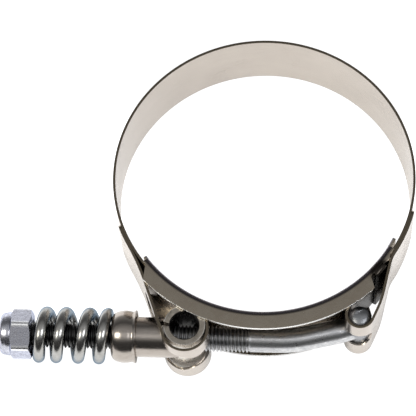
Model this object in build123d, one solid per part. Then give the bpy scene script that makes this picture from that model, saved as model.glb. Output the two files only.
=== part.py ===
from build123d import *
import os
from math import acos, atan2, cos, degrees, hypot, pi, radians, sin, tan

# Spring-loaded T-bolt band clamp for a silicone charge-air hose, lying on its edge.
# The origin is the centre of the clamped bore, half-way across the band.
# +Z is the axis of the bore, and the T-bolt runs along X on the -Y side, with its nut at -X.

# Band: one strip of stainless steel, with each end folded back into a loop
band_width = 19.05
band_gauge = 0.635
bore_radius = 36.7
lap_gap = 0.03
lap_start_left = -158.8
lap_end_left = -149.5
lap_end_right = -31.2
lap_start_right = -12.1
lead_bend_left = 60.0
lead_bend_right = 8.0
tail_bend_right = 25.0
tail_heading_right = 78.5
loop_leave_right = -23.0
weld_radius = 1.5

# T-bolt
thread_radius = 3.15
shank_radius = 3.0
bolt_axis_y = -39.4
bolt_end_x = -62.7
bolt_bend_x = 8.0
bolt_bend_radius = 30.0
bolt_chamfer = 0.6
head_x = 24.13
head_y = -35.45
head_radius = 2.85
neck_radius = 2.6
head_length = 16.4
head_dome = 1.3
neck_length = 6.0
thread_start_x = -1.85

# Trunnion: rolled barrel in the left loop, with the sleeve and the spring cup on it
barrel_x = -17.95
barrel_radius = 5.0
barrel_wall = 1.45
barrel_length = 18.9
barrel_flat_from = 158.0
barrel_flat_length = 1.0
barrel_seam_angle = 184.0
sleeve_radius = 4.9
sleeve_bore = 3.55
sleeve_seat_gap = 0.12
sleeve_chamfer = 0.5
cup_face_x = -36.1
cup_open_x = -29.95
cup_radius = 6.4
cup_wall = 1.1
cup_shoulder = 2.0
cup_lip = 0.3
cup_lip_length = 0.6

# Loops of the band round the barrel and round the T-head
loop_clearance_left = 0.15
loop_clearance_right = 0.07
loop_slack = 0.8
slot_wide = 10.2
slot_narrow = 7.0
slot_tip_x = -27.97
slot_tip_y = -27.92

# Bridge: curved channel that closes the gap under the bolt
bridge_radius = 35.3
bridge_gauge = 0.8
bridge_width = 20.9
bridge_flange_radius = 40.1
bridge_bend = 1.0
bridge_start = -142.6
bridge_end = -25.5
flange_start_inner = -140.6
flange_start_outer = -134.2
flange_end_inner = -30.2
flange_end_outer = -41.5
notch_mouth_angle = -47.9
notch_corner = (37.0, -44.2)
notch_floor = (36.9, -41.9)
notch_end = (37.8, -34.2)
notch_round = 1.5
tab_root = 36.3
tab_start = 1.1
tab_end = 4.6
tab_bend = 1.0
tab_clearance = 0.12
tab_meeting_gap = 0.6

# Compression spring of heavy round wire, ground flat at both ends
spring_radius = 6.95
wire_radius = 1.5
spring_pitch = 4.83
spring_turns = 4.2
spring_start = -1.0
spring_face_gap = 0.02

# Lock nut with a nylon insert
nut_face_x = -55.52
nut_flats = 11.1
hex_length = 5.18
nut_length = 7.81
collar_radius = 5.3
nut_bore = 3.21
nut_chamfer = 0.75
nut_facing_angle = 65.0
insert_radius = 4.55
insert_bore = 3.2
insert_length = 1.9
insert_inset = 0.5
collar_lip_radius = 3.9

mean_radius = bore_radius + band_gauge / 2
lap_radius = bore_radius + band_gauge * 1.5 + lap_gap
barrel_centre = (barrel_x, bolt_axis_y)
head_centre = (head_x, head_y)
loop_radius_left = barrel_radius + loop_clearance_left + band_gauge / 2
loop_radius_right = head_radius + loop_clearance_right + band_gauge / 2


def polar(centre, radius, angle):
    a = radians(angle)
    return (centre[0] + radius * cos(a), centre[1] + radius * sin(a))


def crossing_tangent(centre_a, radius_a, centre_b, radius_b, side):
    """Contact angles of the line that touches two circles on opposite sides."""
    dx = centre_b[0] - centre_a[0]
    dy = centre_b[1] - centre_a[1]
    towards = degrees(atan2(dy, dx))
    opening = degrees(acos((radius_a + radius_b) / hypot(dx, dy)))
    at_a = towards + side * opening
    return at_a, at_a + 180


def strip_face(path, thickness):
    """Flat outline of a bent strip from its centre line of arcs and straight runs."""
    left = []
    right = []
    for step in path:
        for side, offset in ((left, thickness / 2), (right, -thickness / 2)):
            if step[0] == "arc":
                centre, radius, start, sweep = step[1:]
                turn = 1 if sweep > 0 else -1
                side.append(CenterArc(centre, radius - turn * offset, start, sweep))
            else:
                (ax, ay), (bx, by) = step[1:]
                run = hypot(bx - ax, by - ay)
                nx = -(by - ay) / run * offset
                ny = (bx - ax) / run * offset
                side.append(Line((ax + nx, ay + ny), (bx + nx, by + ny)))
    caps = [Line(left[0] @ 0, right[0] @ 0), Line(left[-1] @ 1, right[-1] @ 1)]
    return make_face(left + right + caps)


def arc_between(centre, radius, start, end, anticlockwise):
    sweep = (end - start) % 360
    if not anticlockwise:
        sweep -= 360
    return ("arc", centre, radius, start, sweep)


def bent_run(start, heading_in, end, heading_out, radius):
    """Straight, bend and straight from one point to another, with a heading at each."""
    turn = heading_out - heading_in
    aim_x = cos(radians(heading_out))
    aim_y = sin(radians(heading_out))
    across = (end[0] - start[0]) * aim_y - (end[1] - start[1]) * aim_x
    to_corner = across / sin(radians(turn))
    setback = radius * tan(radians(turn / 2))
    bend_start = polar(start, to_corner - setback, heading_in)
    bend_centre = polar(bend_start, radius, heading_in + 90)
    bend_end = polar(bend_centre, radius, heading_out - 90)
    bend = ("arc", bend_centre, radius, heading_in - 90, turn)
    return [("line", start, bend_start), bend, ("line", bend_end, end)]


def band_path():
    """Centre line of the strip, from the end of its left lap to the end of its right lap."""
    ring = (0, 0)
    slack_centre = (barrel_x + 0.1, bolt_axis_y - loop_slack)
    lead_left = polar(ring, lap_radius + lead_bend_left, lap_end_left)
    lead_right = polar(ring, lap_radius + lead_bend_right, lap_end_right)
    leg_a, leg_b = crossing_tangent(
        lead_left, lead_bend_left, slack_centre, loop_radius_left, 1
    )
    rise = degrees(atan2(loop_slack, -0.1)) - 90
    inner_left, inner_loop_left = crossing_tangent(
        ring, mean_radius, barrel_centre, loop_radius_left, -1
    )
    inner_right, inner_loop_right = crossing_tangent(
        ring, mean_radius, head_centre, loop_radius_right, 1
    )
    tail_lead = tail_heading_right + 90
    tail = bent_run(
        polar(head_centre, loop_radius_right, loop_leave_right),
        loop_leave_right + 90,
        polar(lead_right, lead_bend_right, tail_lead),
        tail_heading_right,
        tail_bend_right,
    )
    path = [arc_between(ring, lap_radius, lap_start_left, lap_end_left, True)]
    path.append(arc_between(lead_left, lead_bend_left, lap_end_left + 180, leg_a, False))
    path.append(
        (
            "line",
            polar(lead_left, lead_bend_left, leg_a),
            polar(slack_centre, loop_radius_left, leg_b),
        )
    )
    path.append(arc_between(slack_centre, loop_radius_left, leg_b, rise, True))
    path.append(
        (
            "line",
            polar(slack_centre, loop_radius_left, rise),
            polar(barrel_centre, loop_radius_left, rise),
        )
    )
    path.append(arc_between(barrel_centre, loop_radius_left, rise, inner_loop_left, True))
    path.append(
        (
            "line",
            polar(barrel_centre, loop_radius_left, inner_loop_left),
            polar(ring, mean_radius, inner_left),
        )
    )
    path.append(arc_between(ring, mean_radius, inner_left, inner_right, False))
    path.append(
        (
            "line",
            polar(ring, mean_radius, inner_right),
            polar(head_centre, loop_radius_right, inner_loop_right),
        )
    )
    path.append(
        arc_between(head_centre, loop_radius_right, inner_loop_right, loop_leave_right, True)
    )
    path.extend(tail)
    path.append(
        arc_between(lead_right, lead_bend_right, tail_lead, lap_end_right + 180, False)
    )
    path.append(arc_between(ring, lap_radius, lap_end_right, lap_start_right, True))
    return path


def slot_cutters():
    """Solids that open the two loops for the sleeve and for the bolt."""
    wide = slot_wide / 2
    narrow = slot_narrow / 2
    left = barrel_x - 14
    right = barrel_x + 8
    outline = Polyline(
        (left, -wide),
        (barrel_x - 1, -wide),
        (barrel_x + 3.5, -narrow),
        (right, -narrow),
        (right, narrow),
        (barrel_x + 3.5, narrow),
        (barrel_x - 1, wide),
        (left, wide),
        close=True,
    )
    low = extrude(Plane.XZ.offset(-(bolt_axis_y + 3.9)) * make_face(outline), 12)
    lean = -68.0
    round_x = slot_tip_x + wide * cos(radians(lean))
    round_y = slot_tip_y + wide * sin(radians(lean))
    leg = Pos(round_x, round_y, 0) * Rot(0, 0, lean) * Box(
        18, 5, slot_wide, align=(Align.MIN, Align.CENTER, Align.CENTER)
    )
    tip = Pos(round_x, round_y, 0) * Rot(0, 0, lean) * Rot(90, 0, 0) * Cylinder(wide, 5)
    head = Pos(head_x - 5.6, head_y - 4.6, 0) * Box(
        8.0, 8.6, slot_narrow, align=(Align.MIN, Align.MIN, Align.CENTER)
    )
    return low, leg, tip, head


def weld(angle, z):
    centre = polar((0, 0), mean_radius, angle)
    return (
        Pos(centre[0], centre[1], z)
        * Rot(0, 0, angle)
        * Rot(0, 90, 0)
        * Cylinder(weld_radius, band_gauge * 1.6, align=(Align.CENTER, Align.CENTER, Align.MIN))
    )


def band():
    face = strip_face(band_path(), band_gauge)
    body = Pos(0, 0, -band_width / 2) * extrude(face, band_width)
    for cutter in slot_cutters():
        body -= cutter
    for angle in ((lap_start_left + lap_end_left) / 2, (lap_start_right + lap_end_right) / 2):
        for z in (-4.5, 4.5):
            body += weld(angle, z)
    return body


def bridge_profile():
    """Half-section of the channel, at +X of the ring's axis."""
    half = bridge_width / 2
    inner = bridge_radius
    outer = bridge_flange_radius
    web = bridge_radius + bridge_gauge
    outline = Polyline(
        (inner, -half),
        (outer, -half),
        (outer, -half + bridge_gauge),
        (web, -half + bridge_gauge),
        (web, half - bridge_gauge),
        (outer, half - bridge_gauge),
        (outer, half),
        (inner, half),
        close=True,
    )
    face = make_face(outline)
    corners = face.vertices().filter_by(lambda v: abs(v.X - inner) < 0.01)
    face = fillet(corners, bridge_bend)
    inside = face.vertices().filter_by(lambda v: abs(v.X - web) < 0.01)
    return fillet(inside, bridge_bend * 0.3)


def end_cutter(angle_inner, angle_outer, side):
    """Wedge that trims both flanges obliquely, clear of the web."""
    near = polar((0, 0), bridge_radius + bridge_gauge, angle_inner)
    corner = polar((0, 0), bridge_flange_radius + 0.8, angle_outer)
    far = polar((0, 0), bridge_flange_radius + 6, angle_outer)
    away = polar((0, 0), bridge_flange_radius + 6, angle_inner - side * 14)
    back = polar((0, 0), bridge_radius + bridge_gauge, angle_inner - side * 14)
    outline = Polyline(near, corner, far, away, back, close=True)
    return Pos(0, 0, -20) * extrude(make_face(outline), 40)


def notch_cutter():
    """Clears the outer part of the right flanges, where the locking tabs turn down."""
    mouth = polar((0, 0), bridge_flange_radius + 2, notch_mouth_angle)
    corner = polar((0, 0), *notch_corner)
    floor = polar((0, 0), *notch_floor)
    end = polar((0, 0), *notch_end)
    past = polar((0, 0), notch_end[0], bridge_end)
    far = polar((0, 0), bridge_flange_radius + 2, bridge_end)
    face = make_face(Polyline(mouth, corner, floor, end, past, far, close=True))
    face = fillet(face.vertices().sort_by_distance((*corner, 0))[0], notch_round)
    return Pos(0, 0, -20) * extrude(face, 40)


def locking_tab():
    """Tab that turns from the upper right flange down over the band's inner leg."""
    leg_angle = crossing_tangent((0, 0), mean_radius, head_centre, loop_radius_right, 1)[0]
    half = bridge_width / 2
    root = tab_root
    inside = mean_radius + band_gauge / 2 + tab_clearance
    outside = inside + bridge_gauge
    outline = Polyline(
        (root, half - bridge_gauge),
        (inside, half - bridge_gauge),
        (inside, tab_meeting_gap / 2),
        (outside, tab_meeting_gap / 2),
        (outside, half),
        (root, half),
        close=True,
    )
    face = make_face(outline)
    corner = face.vertices().filter_by(lambda v: v.X > outside - 0.01 and v.Y > half - 0.01)
    face = fillet(corner, tab_bend)
    section = Pos(0, -tab_start, 0) * Rot(90, 0, 0) * face
    plate = extrude(section, amount=tab_end - tab_start, dir=(0, -1, 0))
    return Rot(0, 0, leg_angle) * plate


def bridge():
    section = Rot(90, 0, 0) * bridge_profile()
    channel = Rot(0, 0, bridge_start) * revolve(section, Axis.Z, bridge_end - bridge_start)
    channel -= end_cutter(flange_start_inner, flange_start_outer, 1)
    channel -= end_cutter(flange_end_inner, flange_end_outer, -1)
    channel -= notch_cutter()
    tab = locking_tab()
    channel += tab
    channel += mirror(tab, Plane.XY)
    return channel


def trunnion_barrel():
    """Rolled tube with an open seam that faces the sleeve, drilled through for the bolt."""
    middle = barrel_radius - barrel_wall / 2
    sweep = 360 + barrel_flat_from - barrel_seam_angle
    flat = polar(barrel_centre, middle, barrel_flat_from)
    heading = radians(barrel_flat_from + 90)
    lip = (
        flat[0] + barrel_flat_length * cos(heading),
        flat[1] + barrel_flat_length * sin(heading),
    )
    path = [("arc", barrel_centre, middle, barrel_seam_angle, sweep), ("line", flat, lip)]
    body = Pos(0, 0, -barrel_length / 2) * extrude(strip_face(path, barrel_wall), barrel_length)
    bore = Pos(barrel_x, bolt_axis_y, 0) * Rot(0, 90, 0) * Cylinder(sleeve_bore, 14)
    return body - bore


def along_bolt(profile_points):
    """Revolves an outline of (x, radius) points about the bolt's axis."""
    outline = Polyline(*profile_points, close=True)
    return make_face(outline)


def turned(face):
    return Pos(0, bolt_axis_y, 0) * revolve(face, Axis.X, 360)


def trunnion_sleeve():
    """Drawn tube, coped at one end to sit on the barrel."""
    start = cup_face_x + cup_wall
    face = along_bolt(
        (
            (start, sleeve_bore),
            (barrel_x, sleeve_bore),
            (barrel_x, sleeve_radius),
            (start + sleeve_chamfer, sleeve_radius),
            (start, sleeve_radius - sleeve_chamfer),
        )
    )
    saddle_radius = barrel_radius + sleeve_seat_gap
    saddle = Pos(barrel_x, bolt_axis_y, 0) * Cylinder(saddle_radius, 20)
    return turned(face) - saddle


def spring_cup():
    """Deep-drawn cup over the sleeve's end, closed towards the spring."""
    outer = along_bolt(
        (
            (cup_face_x, sleeve_bore),
            (cup_open_x, sleeve_bore),
            (cup_open_x, cup_radius),
            (cup_face_x, cup_radius),
        )
    )
    shoulder = outer.vertices().filter_by(
        lambda v: v.X < cup_face_x + 0.01 and v.Y > cup_radius - 0.01
    )
    outer = fillet(shoulder, cup_shoulder)
    inner = along_bolt(
        (
            (cup_face_x + cup_wall, 0),
            (cup_open_x + 1, 0),
            (cup_open_x + 1, cup_radius - cup_wall),
            (cup_face_x + cup_wall, cup_radius - cup_wall),
        )
    )
    knee = inner.vertices().filter_by(
        lambda v: v.X < cup_face_x + cup_wall + 0.01 and v.Y > cup_radius - cup_wall - 0.01
    )
    inner = fillet(knee, cup_shoulder - cup_wall)
    lip = along_bolt(
        (
            (cup_open_x - cup_lip_length, cup_radius - 0.2),
            (cup_open_x, cup_radius - 0.2),
            (cup_open_x, cup_radius + cup_lip),
            (cup_open_x - cup_lip_length, cup_radius),
        )
    )
    return turned(outer) + turned(lip) - turned(inner)


def t_bolt():
    """Round shank with a bend near its head, and a cross bar forged on its end."""
    bend = atan2(head_y - bolt_axis_y, head_x - bolt_bend_x)
    setback = bolt_bend_radius * tan(bend / 2)
    bend_x = bolt_bend_x - setback
    bend_centre = (bend_x, bolt_axis_y + bolt_bend_radius)
    bend_end = polar(bend_centre, bolt_bend_radius, -90 + degrees(bend))
    from_end = (Align.CENTER, Align.CENTER, Align.MIN)
    thread_length = thread_start_x - bolt_end_x
    threaded = Pos(bolt_end_x, bolt_axis_y, 0) * Rot(0, 90, 0)
    threaded *= Cylinder(thread_radius, thread_length, align=from_end)
    threaded = chamfer(threaded.edges().group_by(Axis.X)[0], bolt_chamfer)
    plain = Pos(thread_start_x, bolt_axis_y, 0) * Rot(0, 90, 0)
    plain *= Cylinder(shank_radius, bend_x - thread_start_x, align=from_end)
    section = Pos(bend_x, bolt_axis_y, 0) * Rot(0, 90, 0) * Circle(shank_radius)
    turn_axis = Axis((bend_centre[0], bend_centre[1], 0), (0, 0, 1))
    elbow = revolve(section, turn_axis, degrees(bend))
    place = Pos(bend_end[0], bend_end[1], 0) * Rot(0, 0, degrees(bend)) * Rot(0, 90, 0)
    straight = hypot(head_x - bend_end[0], head_y - bend_end[1]) - neck_length
    upper = place * Cylinder(shank_radius, straight, align=from_end)
    neck = place * Pos(0, 0, straight)
    neck *= Cone(shank_radius, neck_radius, neck_length, align=from_end)
    return threaded + plain + elbow + upper + neck + cross_bar()


def cross_bar():
    """Round bar across the bolt's end, with domed ends."""
    half = head_length / 2
    rim = 0.75 * head_radius
    crown = ThreePointArc(
        (0, half), (rim * 0.6, half - head_dome * 0.22), (head_radius, half - head_dome)
    )
    side = Line((head_radius, half - head_dome), (head_radius, 0))
    base = Line((head_radius, 0), (0, 0))
    axis_line = Line((0, 0), (0, half))
    face = Rot(90, 0, 0) * make_face([crown, side, base, axis_line])
    upper = revolve(face, Axis.Z, 360)
    return Pos(head_x, head_y, 0) * (upper + mirror(upper, Plane.XY))


def spring():
    """Round wire coiled left-handed, with both ends ground flat."""
    centre_radius = spring_radius - wire_radius
    length = cup_face_x - nut_face_x - 2 * spring_face_gap
    path = Helix(
        spring_pitch,
        spring_pitch * spring_turns,
        centre_radius,
        center=(0, 0, spring_start),
        direction=(0, 0, 1),
        lefthand=True,
    )
    section = Plane(path @ 0, z_dir=path % 0) * Circle(wire_radius)
    coil = sweep(section, path=path, is_frenet=True)
    keep = Cylinder(
        spring_radius + 1, length, align=(Align.CENTER, Align.CENTER, Align.MIN)
    )
    coil = coil & keep
    place = Pos(nut_face_x + spring_face_gap, bolt_axis_y, 0) * Rot(0, 90, 0) * Rot(0, 0, 180)
    return place * coil


def lock_nut():
    """Hexagon with a round collar that is rolled in over the insert."""
    corner = nut_flats / 2 / cos(pi / 6)
    hexagon = RegularPolygon(corner, 6, rotation=nut_facing_angle - 60)
    prism = Pos(nut_face_x, bolt_axis_y, 0) * Rot(0, -90, 0) * extrude(hexagon, hex_length)
    crown = along_bolt(
        (
            (nut_face_x, 0),
            (nut_face_x, nut_flats / 2 - 0.25),
            (nut_face_x - nut_chamfer, corner + 0.05),
            (nut_face_x - hex_length + nut_chamfer, corner + 0.05),
            (nut_face_x - hex_length, nut_flats / 2 - 0.15),
            (nut_face_x - hex_length, 0),
        )
    )
    body = prism & turned(crown)
    end_x = nut_face_x - nut_length
    collar = along_bolt(
        (
            (nut_face_x - hex_length + 0.3, 0),
            (nut_face_x - hex_length + 0.3, collar_radius),
            (end_x, collar_radius),
            (end_x, 0),
        )
    )
    rolled = collar.vertices().filter_by(
        lambda v: v.X < end_x + 0.01 and v.Y > collar_radius - 0.01
    )
    collar = fillet(rolled, 1.2)
    body += turned(collar)
    seat = along_bolt(
        (
            (end_x + insert_inset, 0),
            (end_x + insert_inset, insert_radius),
            (end_x + insert_inset + insert_length, insert_radius),
            (end_x + insert_inset + insert_length, 0),
        )
    )
    mouth = along_bolt(
        (
            (end_x - 1, 0),
            (end_x - 1, collar_lip_radius),
            (end_x + insert_inset + 0.2, collar_lip_radius),
            (end_x + insert_inset + 0.2, 0),
        )
    )
    bore = along_bolt(
        (
            (end_x - 1, 0),
            (end_x - 1, nut_bore),
            (nut_face_x + 1, nut_bore),
            (nut_face_x + 1, 0),
        )
    )
    return body - turned(seat) - turned(mouth) - turned(bore)


def nylon_insert():
    """Ring of nylon held in the nut's collar."""
    start = nut_face_x - nut_length + insert_inset + 0.02
    end = start + insert_length - 0.04
    face = along_bolt(
        (
            (start, insert_bore),
            (end, insert_bore),
            (end, insert_radius - 0.02),
            (start, insert_radius - 0.02),
        )
    )
    return turned(face)


os.makedirs("parts", exist_ok=True)
pieces = {
    "band": band,
    "bridge": bridge,
    "trunnion_barrel": trunnion_barrel,
    "trunnion_sleeve": trunnion_sleeve,
    "spring_cup": spring_cup,
    "t_bolt": t_bolt,
    "spring": spring,
    "lock_nut": lock_nut,
    "nylon_insert": nylon_insert,
}
for name, build in pieces.items():
    export_step(build(), f"parts/{name}.step")
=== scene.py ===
from math import asin, atan2, cos, degrees, pi, radians, sin, sqrt

import bmesh
import bpy
from mathutils import Matrix, Vector


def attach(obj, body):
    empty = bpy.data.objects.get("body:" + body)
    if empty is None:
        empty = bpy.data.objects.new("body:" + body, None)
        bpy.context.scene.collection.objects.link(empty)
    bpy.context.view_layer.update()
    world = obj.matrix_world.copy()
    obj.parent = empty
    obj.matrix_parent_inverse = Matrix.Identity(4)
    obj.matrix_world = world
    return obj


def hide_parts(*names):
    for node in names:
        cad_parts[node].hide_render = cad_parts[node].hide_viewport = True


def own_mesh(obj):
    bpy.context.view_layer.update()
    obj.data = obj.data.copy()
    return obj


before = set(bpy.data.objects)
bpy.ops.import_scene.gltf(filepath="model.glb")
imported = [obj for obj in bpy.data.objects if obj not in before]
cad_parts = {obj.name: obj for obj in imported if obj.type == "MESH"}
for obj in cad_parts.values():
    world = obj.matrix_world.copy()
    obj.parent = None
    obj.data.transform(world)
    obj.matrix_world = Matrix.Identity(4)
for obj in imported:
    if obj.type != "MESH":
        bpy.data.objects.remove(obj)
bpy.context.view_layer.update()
scene = bpy.context.scene
scene.view_settings.view_transform = "Standard"
MM = 0.001

# Table, room and camera.
# A white table in a room with a pale back wall, a bright panel overhead, a dark front and two small
# strong lamps at the sides. The metal reflects that room, and the camera sees it as plain white.

camera_data = bpy.data.cameras.new("camera")
camera = bpy.data.objects.new("camera", camera_data)
scene.collection.objects.link(camera)
scene.camera = camera
aim = Vector((-13.97, -4.92, 0.0)) * MM
right = Vector((0.99144, 0.13053, 0.0))
back = Vector((0.0501, -0.3807, 0.9233)).normalized()
roll = radians(-5.63)
camera_distance = 545.69
level = (right - right.dot(back) * back).normalized()
up = back.cross(level)
camera.matrix_world = (
    Matrix.Translation(aim + back * camera_distance * MM)
    @ Matrix((level, up, back)).transposed().to_4x4()
    @ Matrix.Rotation(roll, 4, "Z")
)
camera_data.sensor_width = 36.0
camera_data.lens = 188.9
camera_data.clip_start = 0.05

world = bpy.data.worlds.new("room")
scene.world = world
world.use_nodes = True
nodes, links = world.node_tree.nodes, world.node_tree.links
nodes.clear()


def ramp_node(nodes, stops):
    """Colour ramp from (place, grey or colour) stops."""
    node = nodes.new("ShaderNodeValToRGB")
    ramp = node.color_ramp
    for number, (place, shade) in enumerate(stops):
        stop = ramp.elements[number] if number < 2 else ramp.elements.new(place)
        stop.position = place
        stop.color = (*shade, 1) if isinstance(shade, tuple) else (shade, shade, shade, 1)
    return node


def by_tilt(stops):
    """Stops with their angles from overhead, positive to the front, made places on a ramp."""
    return [(tilt / 180 + 0.5, shade) for tilt, shade in stops]


# Angles from overhead in degrees, each with its grey; the ramp's two ends come first.
wall_greys = (
    (-90, 0.60), (90, 0.25), (-70, 0.24), (-46, 0.08), (-12, 0.45), (24, 0.45), (44, 0.07),
    (84, 0.04),
)
lamp_tilts = ((-90, 0), (90, 0), (1, 0), (6, 1), (20, 1), (27, 0))
warm_lamp, cool_lamp, between_lamps = (1, 0.96, 0.84), (0.97, 0.98, 1), 0.045
lamp_sides = (
    (0.0, 0), (1.0, 0), (0.12, 0), (0.19, warm_lamp), (0.27, warm_lamp), (0.34, between_lamps),
    (0.5, between_lamps), (0.66, between_lamps), (0.73, cool_lamp), (0.81, cool_lamp), (0.88, 0),
)
lamp_strength = 7.0
direction = nodes.new("ShaderNodeTexCoord")
split = nodes.new("ShaderNodeSeparateXYZ")
forward = nodes.new("ShaderNodeMath")
forward.operation = "MULTIPLY"
forward.inputs[1].default_value = -1.0
tilt = nodes.new("ShaderNodeMath")
tilt.operation = "ARCTAN2"
tilt_place = nodes.new("ShaderNodeMath")
tilt_place.operation = "MULTIPLY_ADD"
tilt_place.inputs[1].default_value = 1 / pi
tilt_place.inputs[2].default_value = 0.5
side_place = nodes.new("ShaderNodeMath")
side_place.operation = "MULTIPLY_ADD"
side_place.inputs[1].default_value = 0.5
side_place.inputs[2].default_value = 0.5
walls = ramp_node(nodes, by_tilt(wall_greys))
band_of_lamps = ramp_node(nodes, by_tilt(lamp_tilts))
lamps = ramp_node(nodes, lamp_sides)
lamp_light = nodes.new("ShaderNodeMix")
lamp_light.data_type = "RGBA"
lamp_light.blend_type = "MULTIPLY"
lamp_light.inputs["Factor"].default_value = 1.0
lamp_gain = nodes.new("ShaderNodeVectorMath")
lamp_gain.operation = "SCALE"
lamp_gain.inputs["Scale"].default_value = lamp_strength
total = nodes.new("ShaderNodeVectorMath")
room = nodes.new("ShaderNodeBackground")
paper = nodes.new("ShaderNodeBackground")
seen = nodes.new("ShaderNodeLightPath")
choose = nodes.new("ShaderNodeMixShader")
out = nodes.new("ShaderNodeOutputWorld")
paper.inputs["Color"].default_value = (1, 1, 1, 1)
links.new(direction.outputs["Generated"], split.inputs[0])
links.new(split.outputs["Y"], forward.inputs[0])
links.new(forward.outputs[0], tilt.inputs[0])
links.new(split.outputs["Z"], tilt.inputs[1])
links.new(tilt.outputs[0], tilt_place.inputs[0])
links.new(split.outputs["X"], side_place.inputs[0])
links.new(tilt_place.outputs[0], walls.inputs["Fac"])
links.new(tilt_place.outputs[0], band_of_lamps.inputs["Fac"])
links.new(side_place.outputs[0], lamps.inputs["Fac"])
links.new(band_of_lamps.outputs["Color"], lamp_light.inputs["A"])
links.new(lamps.outputs["Color"], lamp_light.inputs["B"])
links.new(lamp_light.outputs["Result"], lamp_gain.inputs[0])
links.new(lamp_gain.outputs[0], total.inputs[0])
links.new(walls.outputs["Color"], total.inputs[1])
links.new(total.outputs[0], room.inputs["Color"])
links.new(seen.outputs["Is Camera Ray"], choose.inputs[0])
links.new(room.outputs[0], choose.inputs[1])
links.new(paper.outputs[0], choose.inputs[2])
links.new(choose.outputs[0], out.inputs["Surface"])

for name, place, size, power in (
    ("softbox", (-0.01, -0.10, 0.75), 0.26, 4.2),
    ("window", (-0.75, -0.35, 0.35), 0.40, 3.2),
):
    lamp = bpy.data.lights.new(name, "AREA")
    lamp.size = size
    lamp.energy = power
    holder = bpy.data.objects.new(name, lamp)
    scene.collection.objects.link(holder)
    toward = (Vector(place) - aim).to_track_quat("Z", "Y")
    holder.matrix_world = Matrix.Translation(place) @ toward.to_matrix().to_4x4()
    holder.visible_glossy = False

table_half, table_top = 3.0, -10.46 * MM
glow_seen, glow_mirrored = 0.95, 0.3
fade_far, fade_near = -0.22, -0.09
glow_far, glow_near = 0.1, 1.12
side_from, side_to, side_extra = 0.034, 0.038, 0.8
behind_from, behind_to = -0.034, -0.029
table_mesh = bmesh.new()
bmesh.ops.create_grid(table_mesh, x_segments=1, y_segments=1, size=table_half)
bmesh.ops.translate(table_mesh, verts=table_mesh.verts, vec=(0, 0, table_top))
table_data = bpy.data.meshes.new("table")
table_mesh.to_mesh(table_data)
table_mesh.free()
table = bpy.data.objects.new("table", table_data)
scene.collection.objects.link(table)
white = bpy.data.materials.new("white_table")
white.use_nodes = True
nodes, links = white.node_tree.nodes, white.node_tree.links
nodes.clear()
matt = nodes.new("ShaderNodeBsdfDiffuse")
glow = nodes.new("ShaderNodeEmission")
seen = nodes.new("ShaderNodeLightPath")
mirrored = nodes.new("ShaderNodeMath")
share = nodes.new("ShaderNodeMath")
strength = nodes.new("ShaderNodeMath")
blend = nodes.new("ShaderNodeMixShader")
out = nodes.new("ShaderNodeOutputMaterial")
matt.inputs["Color"].default_value = (0.9, 0.9, 0.9, 1)
glow.inputs["Color"].default_value = (1, 1, 1, 1)
mirrored.operation = "MULTIPLY"
mirrored.inputs[1].default_value = glow_mirrored
share.operation = "MULTIPLY_ADD"
share.inputs[1].default_value = glow_seen
strength.operation = "MAXIMUM"
ground = nodes.new("ShaderNodeTexCoord")
ground_split = nodes.new("ShaderNodeSeparateXYZ")
near = nodes.new("ShaderNodeMapRange")
near.inputs["From Min"].default_value = fade_far
near.inputs["From Max"].default_value = fade_near
near.inputs["To Min"].default_value = glow_far
near.inputs["To Max"].default_value = glow_near
links.new(seen.outputs["Is Glossy Ray"], mirrored.inputs[0])
links.new(seen.outputs["Is Camera Ray"], share.inputs[0])
links.new(mirrored.outputs[0], share.inputs[2])
aside = nodes.new("ShaderNodeMath")
aside.operation = "ABSOLUTE"
at_side = nodes.new("ShaderNodeMapRange")
at_side.inputs["From Min"].default_value = side_from
at_side.inputs["From Max"].default_value = side_to
at_side.inputs["To Max"].default_value = side_extra
behind = nodes.new("ShaderNodeMapRange")
behind.inputs["From Min"].default_value = behind_from
behind.inputs["From Max"].default_value = behind_to
brighter = nodes.new("ShaderNodeMath")
brighter.operation = "MULTIPLY_ADD"
links.new(ground_split.outputs["X"], aside.inputs[0])
links.new(aside.outputs[0], at_side.inputs["Value"])
links.new(ground_split.outputs["Y"], behind.inputs["Value"])
links.new(at_side.outputs[0], brighter.inputs[0])
links.new(behind.outputs[0], brighter.inputs[1])
links.new(near.outputs[0], brighter.inputs[2])
links.new(ground.outputs["Object"], ground_split.inputs[0])
links.new(ground_split.outputs["Y"], near.inputs["Value"])
links.new(seen.outputs["Is Camera Ray"], strength.inputs[0])
links.new(brighter.outputs[0], strength.inputs[1])
links.new(strength.outputs[0], glow.inputs["Strength"])
links.new(share.outputs[0], blend.inputs[0])
links.new(matt.outputs[0], blend.inputs[1])
links.new(glow.outputs[0], blend.inputs[2])
links.new(blend.outputs[0], out.inputs["Surface"])
table_data.materials.append(white)

# Band.
# One strip of bright stainless steel, folded back into a loop at each end and spot-welded to
# itself there. The loops are slotted before bending, for the sleeve and the bolt to pass.


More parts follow.
